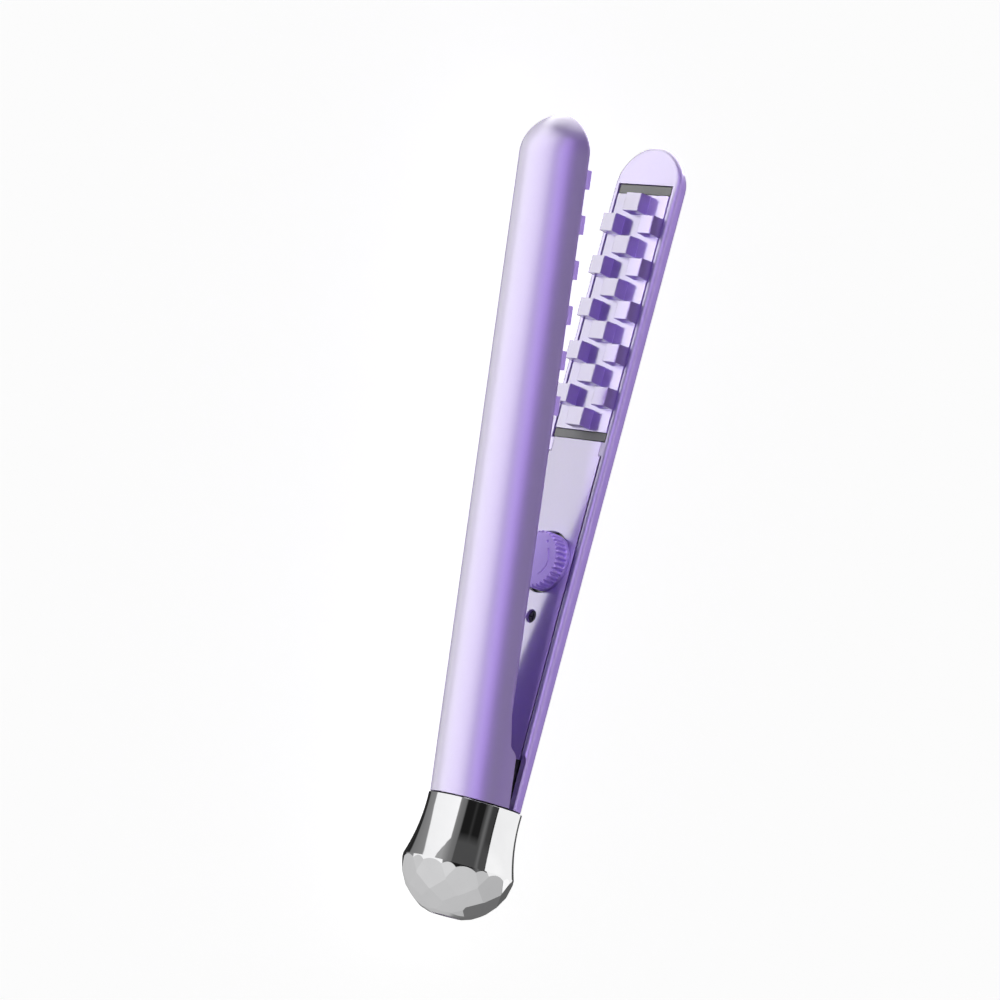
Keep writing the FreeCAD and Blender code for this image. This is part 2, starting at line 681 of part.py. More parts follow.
# rings of flat facets ground into the dome, each half a step round from the last: narrow upright
# ones under the bell first, then kites that grow flatter towards the cord
rings = [
    # (turn, plane through (r, z), outward slope in degrees below level)
    (0.0, (13.7, -15.75), 8.0),
    (18.0, (13.7, -15.9), 18.0),
    (0.0, (11.75, -21.7), 36.0),
    (18.0, (10.05, -24.0), 50.0),
    (0.0, (7.6, -26.2), 60.0),
]
for turn, (pr, pz), slope in rings:
    sk = new_sketch(foot, "XZ_Plane", turn=turn)
    a = math.radians(slope)
    tx, tz = -math.sin(a), -math.cos(a)        # down along the facet
    nx, nz = math.cos(a), -math.sin(a)         # outward
    up = 1.2 if slope < 20 else 5.0
    dn = 9.5 if slope < 20 else 7.0
    p0 = (pr - tx * up, pz - tz * up)
    p1 = (pr + tx * dn, pz + tz * dn)
    path(sk, [p0, p1, (p1[0] + nx * 8, p1[1] + nz * 8), (p0[0] + nx * 8, p0[1] + nz * 8)])
    cutf = pocket(foot, sk, 40.0, both=True)
    polar(foot, [cutf], facets)
# cup for the hinge and the core, then the cord hole
sk = new_sketch(foot, "XY_Plane", 1.0)
circle(sk, 0.0, 0.0, cup_r)
pocket(foot, sk, 15.9)
sk = new_sketch(foot, "XY_Plane", 1.0)
circle(sk, 0.0, 0.0, 8.2)
pocket(foot, sk, 21.0)
sk = new_sketch(foot, "XY_Plane", 1.0)
circle(sk, 0.0, 0.0, 3.75)
pocket(foot, sk, 40.0)
keep(ROOT, foot)

# cord gland: flanged bush, flush with the bottom of the dome
gland = new_body("cord_gland")
sk = new_sketch(gland, "XZ_Plane")
axis_line(sk, 0.0)
path(sk, [(gland_r, -27.8), (3.7, -27.8), (3.7, -19.9), (5.6, -19.9), (5.6, -18.4), (gland_r, -18.4)])
revolve(gland, sk)
soften(gland, lambda e: abs(e.BoundBox.ZMin + 27.8) < 0.01 and abs(e.BoundBox.ZMax + 27.8) < 0.01
       and e.BoundBox.XMax < 3.0, 0.35)
keep(ROOT, gland)

# core: black block inside the foot that carries the pin and both of arm A's posts
core = new_body("base_core")
sk = new_sketch(core, "XY_Plane", -14.8)
circle(sk, 0.0, 0.0, 10.5)
circle(sk, 0.0, 0.0, 2.9)
pad(core, sk, 5.8)
sk = new_sketch(core, "XY_Plane", -9.5)
circle(sk, 0.0, 0.0, 10.5)
circle(sk, 0.0, 0.0, 9.65)
pad(core, sk, 9.3)
for y0 in (6.5, -8.6):
    sk = new_sketch(core, "XY_Plane", -9.4)
    rect(sk, -2.8, y0, 2.8, y0 + 2.1)
    pad(core, sk, 9.4 + 1.5)
for y0 in (4.2, -6.9):
    sk = new_sketch(core, "XY_Plane", -9.4)
    rect(sk, 3.7, y0, 5.6, y0 + 2.7)
    pad(core, sk, 9.4 + 24.0)
# short middle post, where one leg of the hinge spring rests
sk = new_sketch(core, "XY_Plane", -9.4)
rect(sk, 3.7, -2.9, 5.6, 2.9)
pad(core, sk, 9.4 + 4.4)
# pin holes through the lugs, screw holes and their seats in the long posts
sk = new_sketch(core, "XZ_Plane")
circle(sk, 0.0, piv_z, pin_r)
pocket(core, sk, 19.0, both=True)
for yy in (-5.4, 5.4):
    sk = new_sketch(core, "YZ_Plane", 2.0)
    circle(sk, yy, 20.5, 0.75)
    pocket(core, sk, 5.0, reverse=True)
    sk = new_sketch(core, "YZ_Plane", 2.0)
    circle(sk, yy, 20.5, 1.3)
    pocket(core, sk, 2.3, reverse=True)
keep(ROOT, core)

pin = new_body("hinge_pin")
sk = new_sketch(pin, "XZ_Plane")
circle(sk, 0.0, piv_z, pin_r - 0.01)
pad(pin, sk, 17.2, both=True)
soften(pin, lambda e: e.BoundBox.YMax - e.BoundBox.YMin < 0.01, 0.25, chamfer=True)
keep(ROOT, pin)

keep(ROOT, screws("arm_a_mount_screws", 1, [(-5.4, 20.5, 3.75), (5.4, 20.5, 3.75)], 1.22, 0.55, 0.7, 3.0))

# ---- arm B's hinge bracket --------------------------------------------------
br = new_body("arm_b_hinge_bracket")
for y0, sgn in ((3.7, 1), (-6.2, -1)):
    sk = new_sketch(br, "XZ_Plane", -(y0 + 2.5))
    path(sk, [(-5.6, 24.0), (-5.6, 2.6), (-2.9, -2.6), (0.0, -4.65), (2.6, -3.6), (3.2, -1.45), (2.3, 0.85),
              (0.0, 1.75), (-1.6, 2.0), (-3.7, 5.2), (-3.7, 24.0)])
    pad(br, sk, 2.5)
# cross bars that tie the two straps; the lower one takes the spring's leg
for z0, z1 in ((22.0, 26.0), (7.0, 10.0)):
    sk = new_sketch(br, "YZ_Plane", -3.7)
    rect(sk, -6.2, z0, 6.2, z1)
    pad(br, sk, 1.9, reverse=True)
sk = new_sketch(br, "XZ_Plane")
circle(sk, 0.0, piv_z, pin_r + pin_fit)
pocket(br, sk, 14.0, both=True)
for yy in (-5.0, 5.0):
    sk = new_sketch(br, "YZ_Plane", -2.0)
    circle(sk, yy, 20.5, 0.75)
    pocket(br, sk, 5.0)
    sk = new_sketch(br, "YZ_Plane", -2.0)
    circle(sk, yy, 20.5, 1.15)
    pocket(br, sk, 2.3)
keep(ARM_B, br)
keep(ARM_B, screws("arm_b_mount_screws", -1, [(-5.0, 20.5, 3.75), (5.0, 20.5, 3.75)], 1.1, 0.55, 0.7, 3.0))

# ---- control board ----------------------------------------------------------
board = new_body("control_board")
sk = new_sketch(board, "YZ_Plane", 4.35)
rect(sk, -6.3, 26.5, 6.3, 80.5)
pad(board, sk, 1.0)
for (yy, zz, rr) in ((0.0, 47.4, 2.8), (0.0, dial_z, 1.9), (0.0, 30.5, 0.85), (0.0, 75.0, 0.85)):
    sk = new_sketch(board, "YZ_Plane", 3.0)
    circle(sk, yy, zz, rr)
    pocket(board, sk, 4.0, reverse=True)
keep(ROOT, board)
keep(ROOT, screws("board_screws", 1, [(0.0, 30.5, 3.6), (0.0, 75.0, 3.6)], 1.4, 0.75, 0.7, 3.9))

parts_b = new_body("board_components")
for (y0, z0, y1, z1, dx) in ((-4.6, 33.5, -1.6, 39.5, 1.4), (1.4, 34.0, 4.8, 41.5, 1.1),
                             (-5.2, 51.0, -2.6, 54.2, 1.2), (2.4, 50.6, 5.0, 53.6, 1.2),
                             (-4.8, 69.2, -1.2, 72.4, 1.0)):
    sk = new_sketch(parts_b, "YZ_Plane", 5.36)
    rect(sk, y0, z0, y1, z1)
    pad(parts_b, sk, dx)
keep(ROOT, parts_b)

pot = new_body("dial_potentiometer")
sk = new_sketch(pot, "YZ_Plane", 5.36)
rect(sk, -4.6, dial_z - 4.6, 4.6, dial_z + 4.6)
pad(pot, sk, 1.9)
sk = new_sketch(pot, "YZ_Plane", 3.0)
circle(sk, 0.0, dial_z, 1.35)
pocket(pot, sk, 3.6, reverse=True)
keep(ROOT, pot)

# temperature dial: knurled wheel, its spindle runs through the board
dial = new_body("temperature_dial")
sk = new_sketch(dial, "YZ_Plane", face - dial_top)
circle(sk, 0.0, dial_z, dial_r)
pad(dial, sk, dial_top + 1.2)
soften(dial, lambda e: abs(e.BoundBox.XMin - (face.v - dial_top.v)) < 0.01
       and abs(e.BoundBox.XMax - (face.v - dial_top.v)) < 0.01, 0.4, chamfer=True)
sk = new_sketch(dial, "YZ_Plane", face - dial_top - 0.5)
w = 0.62
zt = dial_z + dial_r
path(sk, [(-w, zt + 0.3), (-0.15, zt - 0.7), (0.15, zt - 0.7), (w, zt + 0.3)])
vee = pocket(dial, sk, dial_top - 0.2 + 0.5, reverse=True)
axis_sk = new_sketch(dial, "YZ_Plane")
axis_sk.AttachmentOffset = FreeCAD.Placement(V(0, dial_z.v, 0), FreeCAD.Rotation())
axis_sk.setExpression("AttachmentOffset.Base.y", dial_z.t)
axis_sk.addGeometry(Part.Point(V(0, 0, 0)), True)
doc.recompute()
smooth = dial.Tip.Shape.Volume
kn = dial.newObject("PartDesign::PolarPattern", "Knurl")
kn.Originals = [vee]
kn.Axis = (axis_sk, ["N_Axis"])
kn.Angle = 360
kn.Occurrences = 34
dial.Tip = kn
doc.recompute()
if not kn.Shape.Volume < smooth - 20.0:
    raise RuntimeError("the knurl doesn't go round the dial")
# face: an arc groove that widens towards hot, and a pointer mark (bare marks)
sk = new_sketch(dial, "YZ_Plane", face - dial_top - 0.5)
ends = []
for deg, rr in ((-62.0, 4.15), (-62.0, 4.4), (42.0, 4.6), (42.0, 3.95)):
    ends.append((-rr * math.cos(math.radians(deg)), dial_z.v + rr * math.sin(math.radians(deg))))
mid_out = (-4.5 * math.cos(math.radians(-10.0)), dial_z.v + 4.5 * math.sin(math.radians(-10.0)))
mid_in = (-4.05 * math.cos(math.radians(-10.0)), dial_z.v + 4.05 * math.sin(math.radians(-10.0)))
path(sk, ends, {1: bow(ends[1], mid_out, ends[2]), 3: bow(ends[3], mid_in, ends[0])})
pocket(dial, sk, 0.8, reverse=True)
sk = new_sketch(dial, "YZ_Plane", face - dial_top - 0.5)
circle(sk, -2.5, dial_z + 4.5, 0.4)
pocket(dial, sk, 0.8, reverse=True)
sk = new_sketch(dial, "YZ_Plane", face + 1.1)
circle(sk, 0.0, dial_z, 1.3)
pad(dial, sk, 3.4)
keep(DIAL, dial)

# ---- slide switch -----------------------------------------------------------
can = new_body("slide_switch_body")
sk = new_sketch(can, "YZ_Plane", 3.9)
rect(sk, -3.1, 5.2, 3.1, 17.0)
pad(can, sk, 3.1)
sk = new_sketch(can, "YZ_Plane", 8.0)
rect(sk, -1.5, 6.9, 1.5, 15.2)
pocket(can, sk, 2.4)
keep(ROOT, can)

knob = new_body("switch_knob")
sk = new_sketch(knob, "YZ_Plane", sw_floor + 0.3)
circle(sk, 0.0, knob_z, knob_r)
pad(knob, sk, 1.75)
soften(knob, lambda e: e.BoundBox.XMin > sw_floor.v + 2.0, 0.3)
# finger ridge straight across the knob
sk = new_sketch(knob, "XZ_Plane")
path(sk, [(10.2, knob_z - 1.0), (10.55, knob_z - 1.0), (11.2, knob_z - 0.2), (11.2, knob_z + 0.2),
          (10.55, knob_z + 1.0), (10.2, knob_z + 1.0)])
pad(knob, sk, 5.6, both=True)
sk = new_sketch(knob, "YZ_Plane", 5.95)
rect(sk, -1.0, knob_z - 1.5, 1.0, knob_z + 1.5)
pad(knob, sk, sw_floor + 0.5 - 5.95)
keep(SWITCH, knob)

# ---- supply leads, gland to board -------------------------------------------
leads = new_body("supply_leads")
for yy in (-3.65, 3.65):
    sk = new_sketch(leads, "XY_Plane", -8.8)
    circle(sk, 5.0, yy, 0.42)
    pad(leads, sk, 8.8 + 26.0)
keep(ROOT, leads)

# ---- hinge spring -----------------------------------------------------------
# torsion spring wound round the pin; one leg rests on arm A's post bar, the
# other on arm B's bracket, drawn in the rest (open) pose
th = math.radians(open_deg.v)


def turned(x, z):
    z -= piv_z.v
    return x * math.cos(th) - z * math.sin(th), x * math.sin(th) + z * math.cos(th) + piv_z.v


wire_r, coil_r, turns = 0.35, 2.5, 5
y_lo, y_hi = -2.6, 2.6
helix = Part.makeHelix((y_hi - y_lo) / turns, y_hi - y_lo, coil_r)
# the helix runs along Z; lay it along -Y, both ends on the +X side of the pin
helix.Placement = FreeCAD.Placement(V(0, y_hi, piv_z.v), FreeCAD.Rotation(V(1, 0, 0), 90))
e0 = helix.Edges[0]
p_start = e0.valueAt(e0.FirstParameter)
tan = e0.tangentAt(e0.FirstParameter)
ring = Part.Wire([Part.makeCircle(wire_r, p_start, tan)])
coil = Part.Wire(helix.Edges).makePipeShell([ring], True, True)


def leg(x0, y, z0, x1, z1):
    """Straight leg of the wire with a round knuckle where it leaves the coil."""
    d = V(x1 - x0, 0, z1 - z0)
    rod = Part.makeCylinder(wire_r, d.Length, V(x0, y, z0), d)
    return rod.fuse([Part.makeSphere(wire_r * 1.12, V(x0, y, z0))])


bar_x, bar_z = turned(-3.7 + wire_r + 0.05, 8.3)
leg_a = leg(coil_r, y_hi, piv_z.v, 3.7 - wire_r - 0.05, 4.0)
leg_b = leg(coil_r, y_lo, piv_z.v, bar_x, bar_z)
spring_shape = coil.fuse([leg_a, leg_b])
if len(spring_shape.Solids) != 1:
    raise RuntimeError("the spring's legs and coil don't meet")
spring_shape = spring_shape.Solids[0]
spring = doc.addObject("Part::Feature", "hinge_spring")
spring.Label = "hinge_spring"
spring.Shape = spring_shape
spring_group = [spring]

doc.recompute()

# ---- check, lay down, write ---------------------------------------------------
bad = [o.Name for o in doc.Objects if "Invalid" in o.State or "Error" in o.State]
if bad:
    raise RuntimeError("failed objects: %s" % bad)
everything = ROOT + ARM_B + DIAL + SWITCH + spring_group
for o in everything:
    if o.Shape.isNull() or not o.Shape.isValid():
        raise RuntimeError("bad shape: " + o.Label)

# tool (x, y, z) -> row (x, z, -y)
lay = FreeCAD.Placement(V(0, 0, 0), FreeCAD.Rotation(V(1, 0, 0), -90))
swing = FreeCAD.Placement(V(0, 0, 0), FreeCAD.Rotation(V(0, 1, 0), -open_deg.v), V(0, 0, piv_z.v))
for o in ROOT + DIAL + SWITCH + spring_group:
    o.Placement = lay
for o in ARM_B:
    o.Placement = lay.multiply(swing)
box = FreeCAD.BoundBox()
for o in everything:
    box.add(o.Shape.optimalBoundingBox(False))
shift = V(-(box.XMin + box.XMax) / 2, -(box.YMin + box.YMax) / 2, -box.ZMin)
for o in everything:
    o.Placement = FreeCAD.Placement(shift, FreeCAD.Rotation()).multiply(o.Placement)
print("box", box, "shift", shift)
print("pivot in row frame", shift + V(0, piv_z.v, 0))

os.makedirs("parts", exist_ok=True)
for f in os.listdir("parts"):
    if f.endswith(".step"):
        os.remove(os.path.join("parts", f))
for o in everything:
    o.Shape.exportStep(os.path.join("parts", o.Label + ".step"))
    print("%-26s solids %d  volume %.1f" % (o.Label, len(o.Shape.Solids), o.Shape.Volume))
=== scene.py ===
import json
import math

import bmesh
import bpy
from mathutils import Matrix, Vector

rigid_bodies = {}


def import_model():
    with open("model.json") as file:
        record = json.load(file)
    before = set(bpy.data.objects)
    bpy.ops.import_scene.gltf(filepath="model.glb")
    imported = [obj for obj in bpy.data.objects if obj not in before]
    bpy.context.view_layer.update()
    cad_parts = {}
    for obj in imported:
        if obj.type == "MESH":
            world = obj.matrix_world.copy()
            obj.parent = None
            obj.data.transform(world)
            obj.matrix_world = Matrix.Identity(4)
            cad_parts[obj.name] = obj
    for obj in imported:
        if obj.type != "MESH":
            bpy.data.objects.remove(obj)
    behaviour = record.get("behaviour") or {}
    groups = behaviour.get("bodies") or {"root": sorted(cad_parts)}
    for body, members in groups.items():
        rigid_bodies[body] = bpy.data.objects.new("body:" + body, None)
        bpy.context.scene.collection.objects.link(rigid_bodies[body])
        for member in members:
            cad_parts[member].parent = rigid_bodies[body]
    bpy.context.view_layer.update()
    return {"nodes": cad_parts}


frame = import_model()
N = frame["nodes"]
scene = bpy.context.scene
view = scene.view_settings
view.view_transform = "Standard"
view.look = "None"
view.exposure = 0.0

# tool coordinates (mm: x opening, y pin, z along) to the row frame (m)
SX, SY, SZ = 12.016629, -69.435656, 13.7
PIV_Z = -1.45
OPEN = math.radians(9.8)


def at(x, y, z):
    return Vector(((x + SX) / 1000.0, (z + SY) / 1000.0, (-y + SZ) / 1000.0))


def on_b(x, y, z):
    """A point of arm B, drawn closed, at its place with the arms open."""
    c, s = math.cos(OPEN), math.sin(OPEN)
    dz = z - PIV_Z
    return at(x * c - dz * s, y, x * s + dz * c + PIV_Z)


# ---------------------------------------------------------------- camera
cam_data = bpy.data.cameras.new("camera")
cam_data.sensor_width = 36.0
cam_data.lens = 36.0 * 4944.045 / 1000.0
cam_data.clip_start = 0.01
cam_data.clip_end = 20.0
cam = bpy.data.objects.new("camera", cam_data)
scene.collection.objects.link(cam)
right = Vector((0.680184, 0.257442, 0.686348))
up = Vector((-0.271528, 0.958184, -0.090315))
back = Vector((-0.680898, -0.124932, 0.721644))
m = Matrix((right, up, back)).transposed().to_4x4()
m.translation = Vector((-0.811787, -0.146287, 0.867540))
cam.matrix_world = m
scene.camera = cam


# ---------------------------------------------------------------- materials
def mat(name):
    mt = bpy.data.materials.new(name)
    mt.use_nodes = True
    nt = mt.node_tree
    return mt, nt, nt.nodes["Principled BSDF"]


def math_node(nt, op, a, b=None, clamp=False):
    n = nt.nodes.new("ShaderNodeMath")
    n.operation = op
    n.use_clamp = clamp
    for i, v in enumerate((a, b)):
        if v is None:
            continue
        if isinstance(v, (int, float)):
            n.inputs[i].default_value = v
        else:
            nt.links.new(v, n.inputs[i])
    return n.outputs[0]


def ramp(nt, fac, stops, mode="LINEAR"):
    r = nt.nodes.new("ShaderNodeValToRGB")
    r.color_ramp.interpolation = mode
    els = r.color_ramp.elements
    els[0].position, els[0].color = stops[0][0], (*stops[0][1], 1)
    els[1].position, els[1].color = stops[1][0], (*stops[1][1], 1)
    for p, c in stops[2:]:
        e = els.new(p)
        e.color = (*c, 1)
    nt.links.new(fac, r.inputs["Fac"])
    return r.outputs["Color"]


def maprange(nt, src, lo, hi, a, b):
    r = nt.nodes.new("ShaderNodeMapRange")
    r.inputs["From Min"].default_value = lo
    r.inputs["From Max"].default_value = hi
    r.inputs["To Min"].default_value = a
    r.inputs["To Max"].default_value = b
    nt.links.new(src, r.inputs["Value"])
    return r.outputs["Result"]


def noise(nt, scale, detail=3.0, rough=0.5, stretch=None):
    tc = nt.nodes.new("ShaderNodeTexCoord")
    n = nt.nodes.new("ShaderNodeTexNoise")
    n.inputs["Scale"].default_value = scale
    n.inputs["Detail"].default_value = detail
    n.inputs["Roughness"].default_value = rough
    src = tc.outputs["Object"]
    if stretch is not None:
        mp = nt.nodes.new("ShaderNodeMapping")
        mp.inputs["Scale"].default_value = stretch
        nt.links.new(src, mp.inputs["Vector"])
        src = mp.outputs["Vector"]
    nt.links.new(src, n.inputs["Vector"])
    return n.outputs["Fac"]


def speckle(nt, scale):
    tc = nt.nodes.new("ShaderNodeTexCoord")
    n = nt.nodes.new("ShaderNodeTexVoronoi")
    n.inputs["Scale"].default_value = scale
    nt.links.new(tc.outputs["Object"], n.inputs["Vector"])
    return n.outputs["Distance"]


def mix(nt, fac, a, b, blend="MIX"):
    n = nt.nodes.new("ShaderNodeMix")
    n.data_type = "RGBA"
    n.blend_type = blend
    for i, v in ((0, fac), (6, a), (7, b)):
        if isinstance(v, (int, float)):
            n.inputs[i].default_value = v
        elif isinstance(v, tuple):
            n.inputs[i].default_value = (*v, 1)
        else:
            nt.links.new(v, n.inputs[i])
    return n.outputs[2]


def edge_rounding_and_highlight_mask(nt, radius):
    """Rounded normal, and a mask 1 on edges and 0 on flat skin: how far a rounded normal leaves the true one; the mask
    paints a highlight on edges.
    """
    bv = nt.nodes.new("ShaderNodeBevel")
    bv.samples = 6
    bv.inputs["Radius"].default_value = radius
    ge = nt.nodes.new("ShaderNodeNewGeometry")
    dt = nt.nodes.new("ShaderNodeVectorMath")
    dt.operation = "DOT_PRODUCT"
    nt.links.new(bv.outputs["Normal"], dt.inputs[0])
    nt.links.new(ge.outputs["Normal"], dt.inputs[1])
    edge = maprange(nt, dt.outputs["Value"], 0.995, 0.86, 0.0, 1.0)
    return bv.outputs["Normal"], edge


def relief(nt, bsdf, heights, normal=None):
    """Chain of bumps: heights is a list of (socket, strength, distance)."""
    last = normal
    for h, strength, dist in heights:
        b = nt.nodes.new("ShaderNodeBump")
        b.inputs["Strength"].default_value = strength
        b.inputs["Distance"].default_value = dist
        nt.links.new(h, b.inputs["Height"])
        if last is not None:
            nt.links.new(last, b.inputs["Normal"])
        last = b.outputs["Normal"]
    nt.links.new(last, bsdf.inputs["Normal"])


def moulded(name, c0, c1, rough, grain_scale=1500.0, grain=0.10, edge_r=0.00022, edge_highlight_tint=1.12, coat=0.0,
            coat_rough=0.2, sheen=0.0, spec=0.5, wave=0.0, metallic=0.0, big=55.0, drift_rough=0.04):
    """Moulded or painted skin: slow colour drift, fine texture in relief and gloss, edges a little smoother and mixed
    toward a paler colour as a painted edge highlight."""
    mt, nt, b = mat(name)
    nrm, edge = edge_rounding_and_highlight_mask(nt, edge_r)
    drift = noise(nt, big, 2.0)
    base = ramp(nt, drift, [(0.32, c0), (0.68, c1)])
    fine = noise(nt, grain_scale, 3.0, 0.62)
    base = mix(nt, maprange(nt, fine, 0.35, 0.65, 0.0, 0.10), base, tuple(v * 0.86 for v in c0))
    # painted highlight: the edges are mixed toward a paler colour
    pale = tuple(min(1.0, v * edge_highlight_tint + 0.01) for v in c1)
    base = mix(nt, math_node(nt, "MULTIPLY", edge, 0.55), base, pale)
    nt.links.new(base, b.inputs["Base Color"])
    rr = maprange(nt, fine, 0.3, 0.7, rough - drift_rough, rough + drift_rough)
    rr = math_node(nt, "SUBTRACT", rr, math_node(nt, "MULTIPLY", edge, 0.07))
    nt.links.new(rr, b.inputs["Roughness"])
    steps = [(fine, grain, 0.00003)]
    if wave:
        steps.insert(0, (noise(nt, 90.0, 1.0), wave, 0.0002))
    relief(nt, b, steps, nrm)
    b.inputs["Metallic"].default_value = metallic
    b.inputs["Coat Weight"].default_value = coat
    b.inputs["Coat Roughness"].default_value = coat_rough
    b.inputs["Sheen Weight"].default_value = sheen
    b.inputs["Sheen Roughness"].default_value = 0.45
    b.inputs["Specular IOR Level"].default_value = spec
    return mt


def metal(name, c0, c1, rough, stretch, scale=1.0, scratch=0.05, edge_r=0.00015):
    """Drawn or ground metal: fine lines along the way it was worked, edges mixed toward a brighter colour as a painted
    edge highlight.
    """
    mt, nt, b = mat(name)
    nrm, edge = edge_rounding_and_highlight_mask(nt, edge_r)
    lines = noise(nt, scale, 3.0, 0.6, stretch)
    base = ramp(nt, lines, [(0.3, c0), (0.7, c1)])
    # painted highlight: edges mixed toward a brighter colour
    base = mix(nt, math_node(nt, "MULTIPLY", edge, 0.5), base, tuple(min(1.0, v * 1.25) for v in c1))
    nt.links.new(base, b.inputs["Base Color"])
    nt.links.new(maprange(nt, lines, 0.3, 0.7, rough - 0.05, rough + 0.06), b.inputs["Roughness"])
    relief(nt, b, [(lines, scratch, 0.00002)], nrm)
    b.inputs["Metallic"].default_value = 1.0
    return mt


M = {}
# soft-touch paint over the shells: very fine stipple, a faint bloom at grazing angles
M["shell"] = moulded("lilac_soft_touch", (0.352, 0.234, 0.645), (0.370, 0.249, 0.664), 0.35, 1700.0, 0.05,
                     edge_highlight_tint=1.9, coat=0.36, coat_rough=0.34, sheen=0.04, spec=0.9, wave=0.008)
M["cover"] = moulded("lilac_cover", (0.352, 0.240, 0.648), (0.364, 0.250, 0.660), 0.15, 1500.0, 0.012,
                     edge_highlight_tint=1.7, coat=0.22, coat_rough=0.08, sheen=0.02, spec=0.60, wave=0.003, drift_rough=0.012)
M["plate"] = moulded("lilac_coated_plate", (0.350, 0.238, 0.648), (0.366, 0.250, 0.662), 0.17, 2200.0, 0.015,
                     edge_r=0.0003, edge_highlight_tint=1.5, coat=0.26, coat_rough=0.08, spec=0.72, wave=0.004,
                     drift_rough=0.012)
M["dial"] = moulded("lilac_dial", (0.455, 0.310, 0.810), (0.480, 0.330, 0.840), 0.45, 2100.0, 0.04,
                    edge_r=0.00012, edge_highlight_tint=1.6, coat=0.0, coat_rough=0.3, spec=0.22)
M["dark"] = moulded("heat_frame_black", (0.050, 0.052, 0.048), (0.064, 0.066, 0.062), 0.55, 1700.0, 0.10,
                    edge_highlight_tint=1.6, spec=0.32)
M["core"] = moulded("core_black", (0.012, 0.012, 0.014), (0.018, 0.018, 0.020), 0.55, 1500.0, 0.16, edge_highlight_tint=2.2)
M["rubber"] = moulded("gland_rubber", (0.360, 0.320, 0.400), (0.400, 0.360, 0.440), 0.58, 1800.0, 0.2)
M["part"] = moulded("component_black", (0.014, 0.014, 0.016), (0.024, 0.024, 0.026), 0.42, 1600.0, 0.12,
                    edge_highlight_tint=2.0)
M["ceramic"] = moulded("heater_ceramic", (0.62, 0.57, 0.48), (0.70, 0.66, 0.57), 0.58, 1300.0, 0.18)
M["mica"] = moulded("mica_sheet", (0.50, 0.42, 0.28), (0.64, 0.56, 0.40), 0.38, 1000.0, 0.2, coat=0.4,
                    coat_rough=0.2)
M["fuse"] = moulded("fuse_glaze", (0.70, 0.68, 0.62), (0.78, 0.76, 0.70), 0.24, 1500.0, 0.06, coat=0.5,
                    coat_rough=0.1)
M["wire"] = moulded("wire_sleeve", (0.66, 0.64, 0.60), (0.74, 0.72, 0.68), 0.45, 1500.0, 0.08)
M["board"] = moulded("board_mask", (0.008, 0.009, 0.010), (0.013, 0.015, 0.016), 0.32, 1300.0, 0.12, coat=0.5,
                     coat_rough=0.15)
M["steel"] = metal("screw_steel", (0.42, 0.42, 0.44), (0.56, 0.56, 0.58), 0.28, (2600.0, 900.0, 900.0), scratch=0.08)
# painted shade: the screw steel is darkened to stand in for the shade of its deep recess
M["screw"] = metal("screw_darkened_for_recess_shade", (0.050, 0.046, 0.060), (0.085, 0.080, 0.098), 0.42, (2600.0, 900.0, 900.0),
                   scratch=0.08)
M["spring"] = metal("spring_steel", (0.30, 0.30, 0.32), (0.42, 0.42, 0.44), 0.30, (500.0, 3200.0, 500.0),
                    scratch=0.08)

# bright plating on the foot: a faint orange peel and hairlines in the gloss
mt, nt, b = mat("bright_chrome")
nrm, edge = edge_rounding_and_highlight_mask(nt, 0.00018)
peel = noise(nt, 210.0, 2.0)
hair = noise(nt, 1.0, 2.0, 0.6, (2400.0, 260.0, 2400.0))
base = ramp(nt, peel, [(0.3, (0.865, 0.865, 0.872)), (0.7, (0.89, 0.89, 0.896))])
# painted highlight: the chrome's edges are mixed toward near white
base = mix(nt, math_node(nt, "MULTIPLY", edge, 0.8), base, (0.98, 0.98, 0.985))
nt.links.new(base, b.inputs["Base Color"])
nt.links.new(maprange(nt, hair, 0.35, 0.75, 0.025, 0.055), b.inputs["Roughness"])
relief(nt, b, [(peel, 0.010, 0.0002), (hair, 0.006, 0.00002)], nrm)
b.inputs["Metallic"].default_value = 1.0
M["chrome"] = mt

USE = {
    "arm_a_shell": "shell", "arm_b_shell": "shell", "arm_a_inner_cover": "cover", "arm_b_inner_cover": "cover",
    "arm_a_crimp_plate": "plate", "arm_b_crimp_plate": "plate", "arm_a_heater_frame": "dark",
    "arm_b_heater_frame": "dark", "chrome_base": "chrome", "cord_gland": "rubber", "base_core": "core",
    "hinge_pin": "steel", "hinge_spring": "spring", "arm_b_hinge_bracket": "spring", "temperature_dial": "dial",
    "switch_knob": "shell", "slide_switch_body": "part", "control_board": "board", "board_components": "part",
    "dial_potentiometer": "part", "arm_a_cover_screw": "screw", "arm_b_cover_screw": "screw",
}
for name, ob in N.items():
    key = USE.get(name)
    if key is None:
        key = ("steel" if "screw" in name else "ceramic" if "ptc" in name else "mica" if "insulator" in name else
               "spring" if "clamp" in name else "fuse" if "fuse" in name else "wire")
    ob.data.materials.clear()
    ob.data.materials.append(M[key])
    for p in ob.data.polygons:
        p.material_index = 0

# ---------------------------------------------------------------- stage
# pale sweep, lit a little from behind like a light table
mt, nt, b = mat("pale_floor")
g = noise(nt, 9.0, 4.0)
nt.links.new(ramp(nt, g, [(0.3, (0.86, 0.86, 0.87)), (0.7, (0.90, 0.90, 0.905))]), b.inputs["Base Color"])
b.inputs["Roughness"].default_value = 0.9
b.inputs["Specular IOR Level"].default_value = 0.1
b.inputs["Emission Color"].default_value = (1.0, 1.0, 1.0, 1)
b.inputs["Emission Strength"].default_value = 0.97
fl = bpy.data.meshes.new("floor")
bm = bmesh.new()
bmesh.ops.create_grid(bm, x_segments=1, y_segments=1, size=6.0)
bm.to_mesh(fl)
bm.free()
floor = bpy.data.objects.new("floor", fl)
floor.location = (0, 0, -0.0004)
fl.materials.append(mt)
scene.collection.objects.link(floor)
floor.visible_glossy = False
floor.visible_shadow = False
floor.visible_diffuse = False

